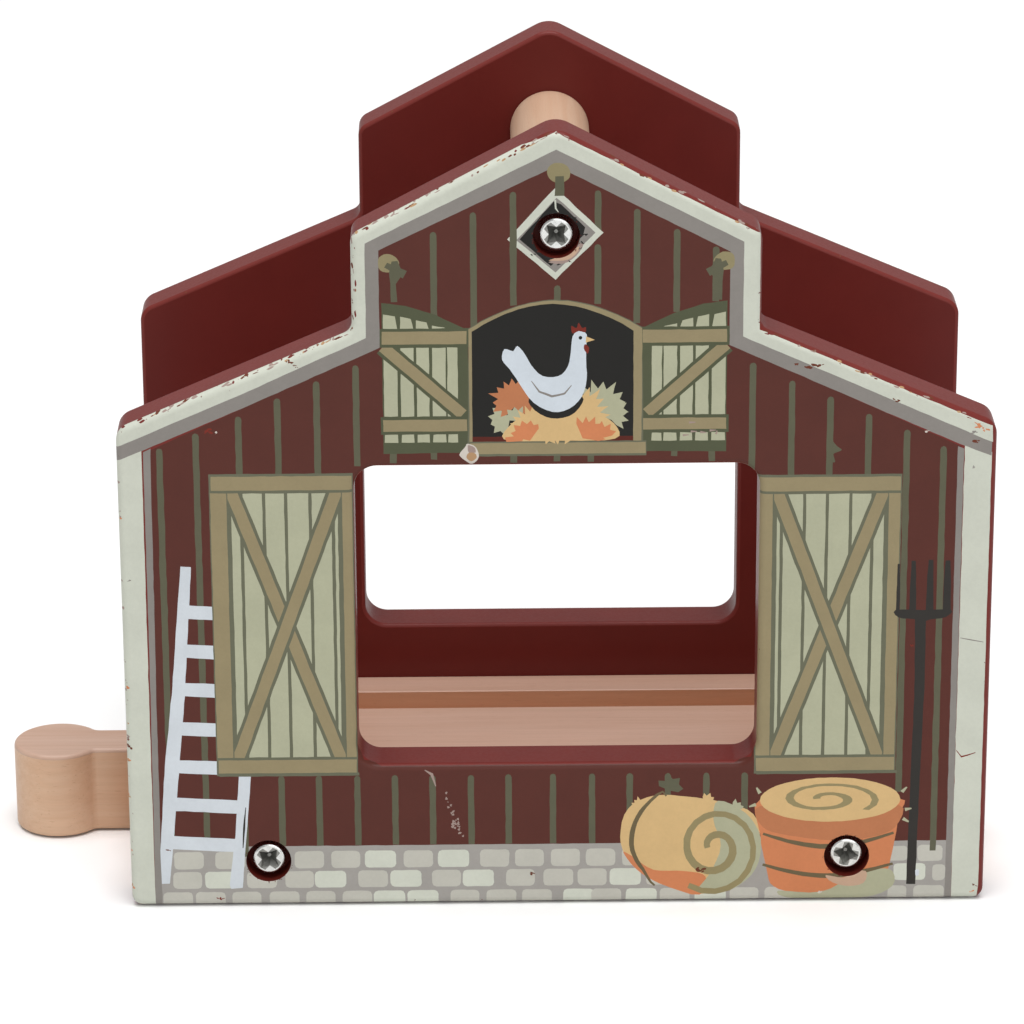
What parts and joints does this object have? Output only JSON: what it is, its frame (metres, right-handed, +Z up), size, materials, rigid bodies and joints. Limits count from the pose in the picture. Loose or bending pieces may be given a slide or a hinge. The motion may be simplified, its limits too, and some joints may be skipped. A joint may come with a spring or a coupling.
{
  "type": "toy chicken coop",
  "caption": "Wooden-railway chicken coop: two stepped barn panels with windows stand either side of a grooved track piece with peg and socket, tied by a ridge dowel and screws.",
  "frame": {"origin": "centre of the track piece's underside, midway between the two panels", "axes": "+X along the track to the socket end, with the peg at the -X end; +Y from the front panel to the back one; +Z up"},
  "size_m": [0.1295, 0.0564, 0.1049],
  "materials": {
    "painted_panel": "dark red glossy paint with a printed barn front",
    "beech": "clear satin varnish",
    "screw_steel": "bright zinc"
  },
  "bodies": {
    "root": {"front_panel": "painted_panel", "back_panel": "painted_panel", "track_base": "beech", "top_dowel": "beech", "front_top_screw": "screw_steel", "front_left_screw": "screw_steel", "front_right_screw": "screw_steel", "back_top_screw": "screw_steel", "back_left_screw": "screw_steel", "back_right_screw": "screw_steel"}
  },
  "joints": []
}
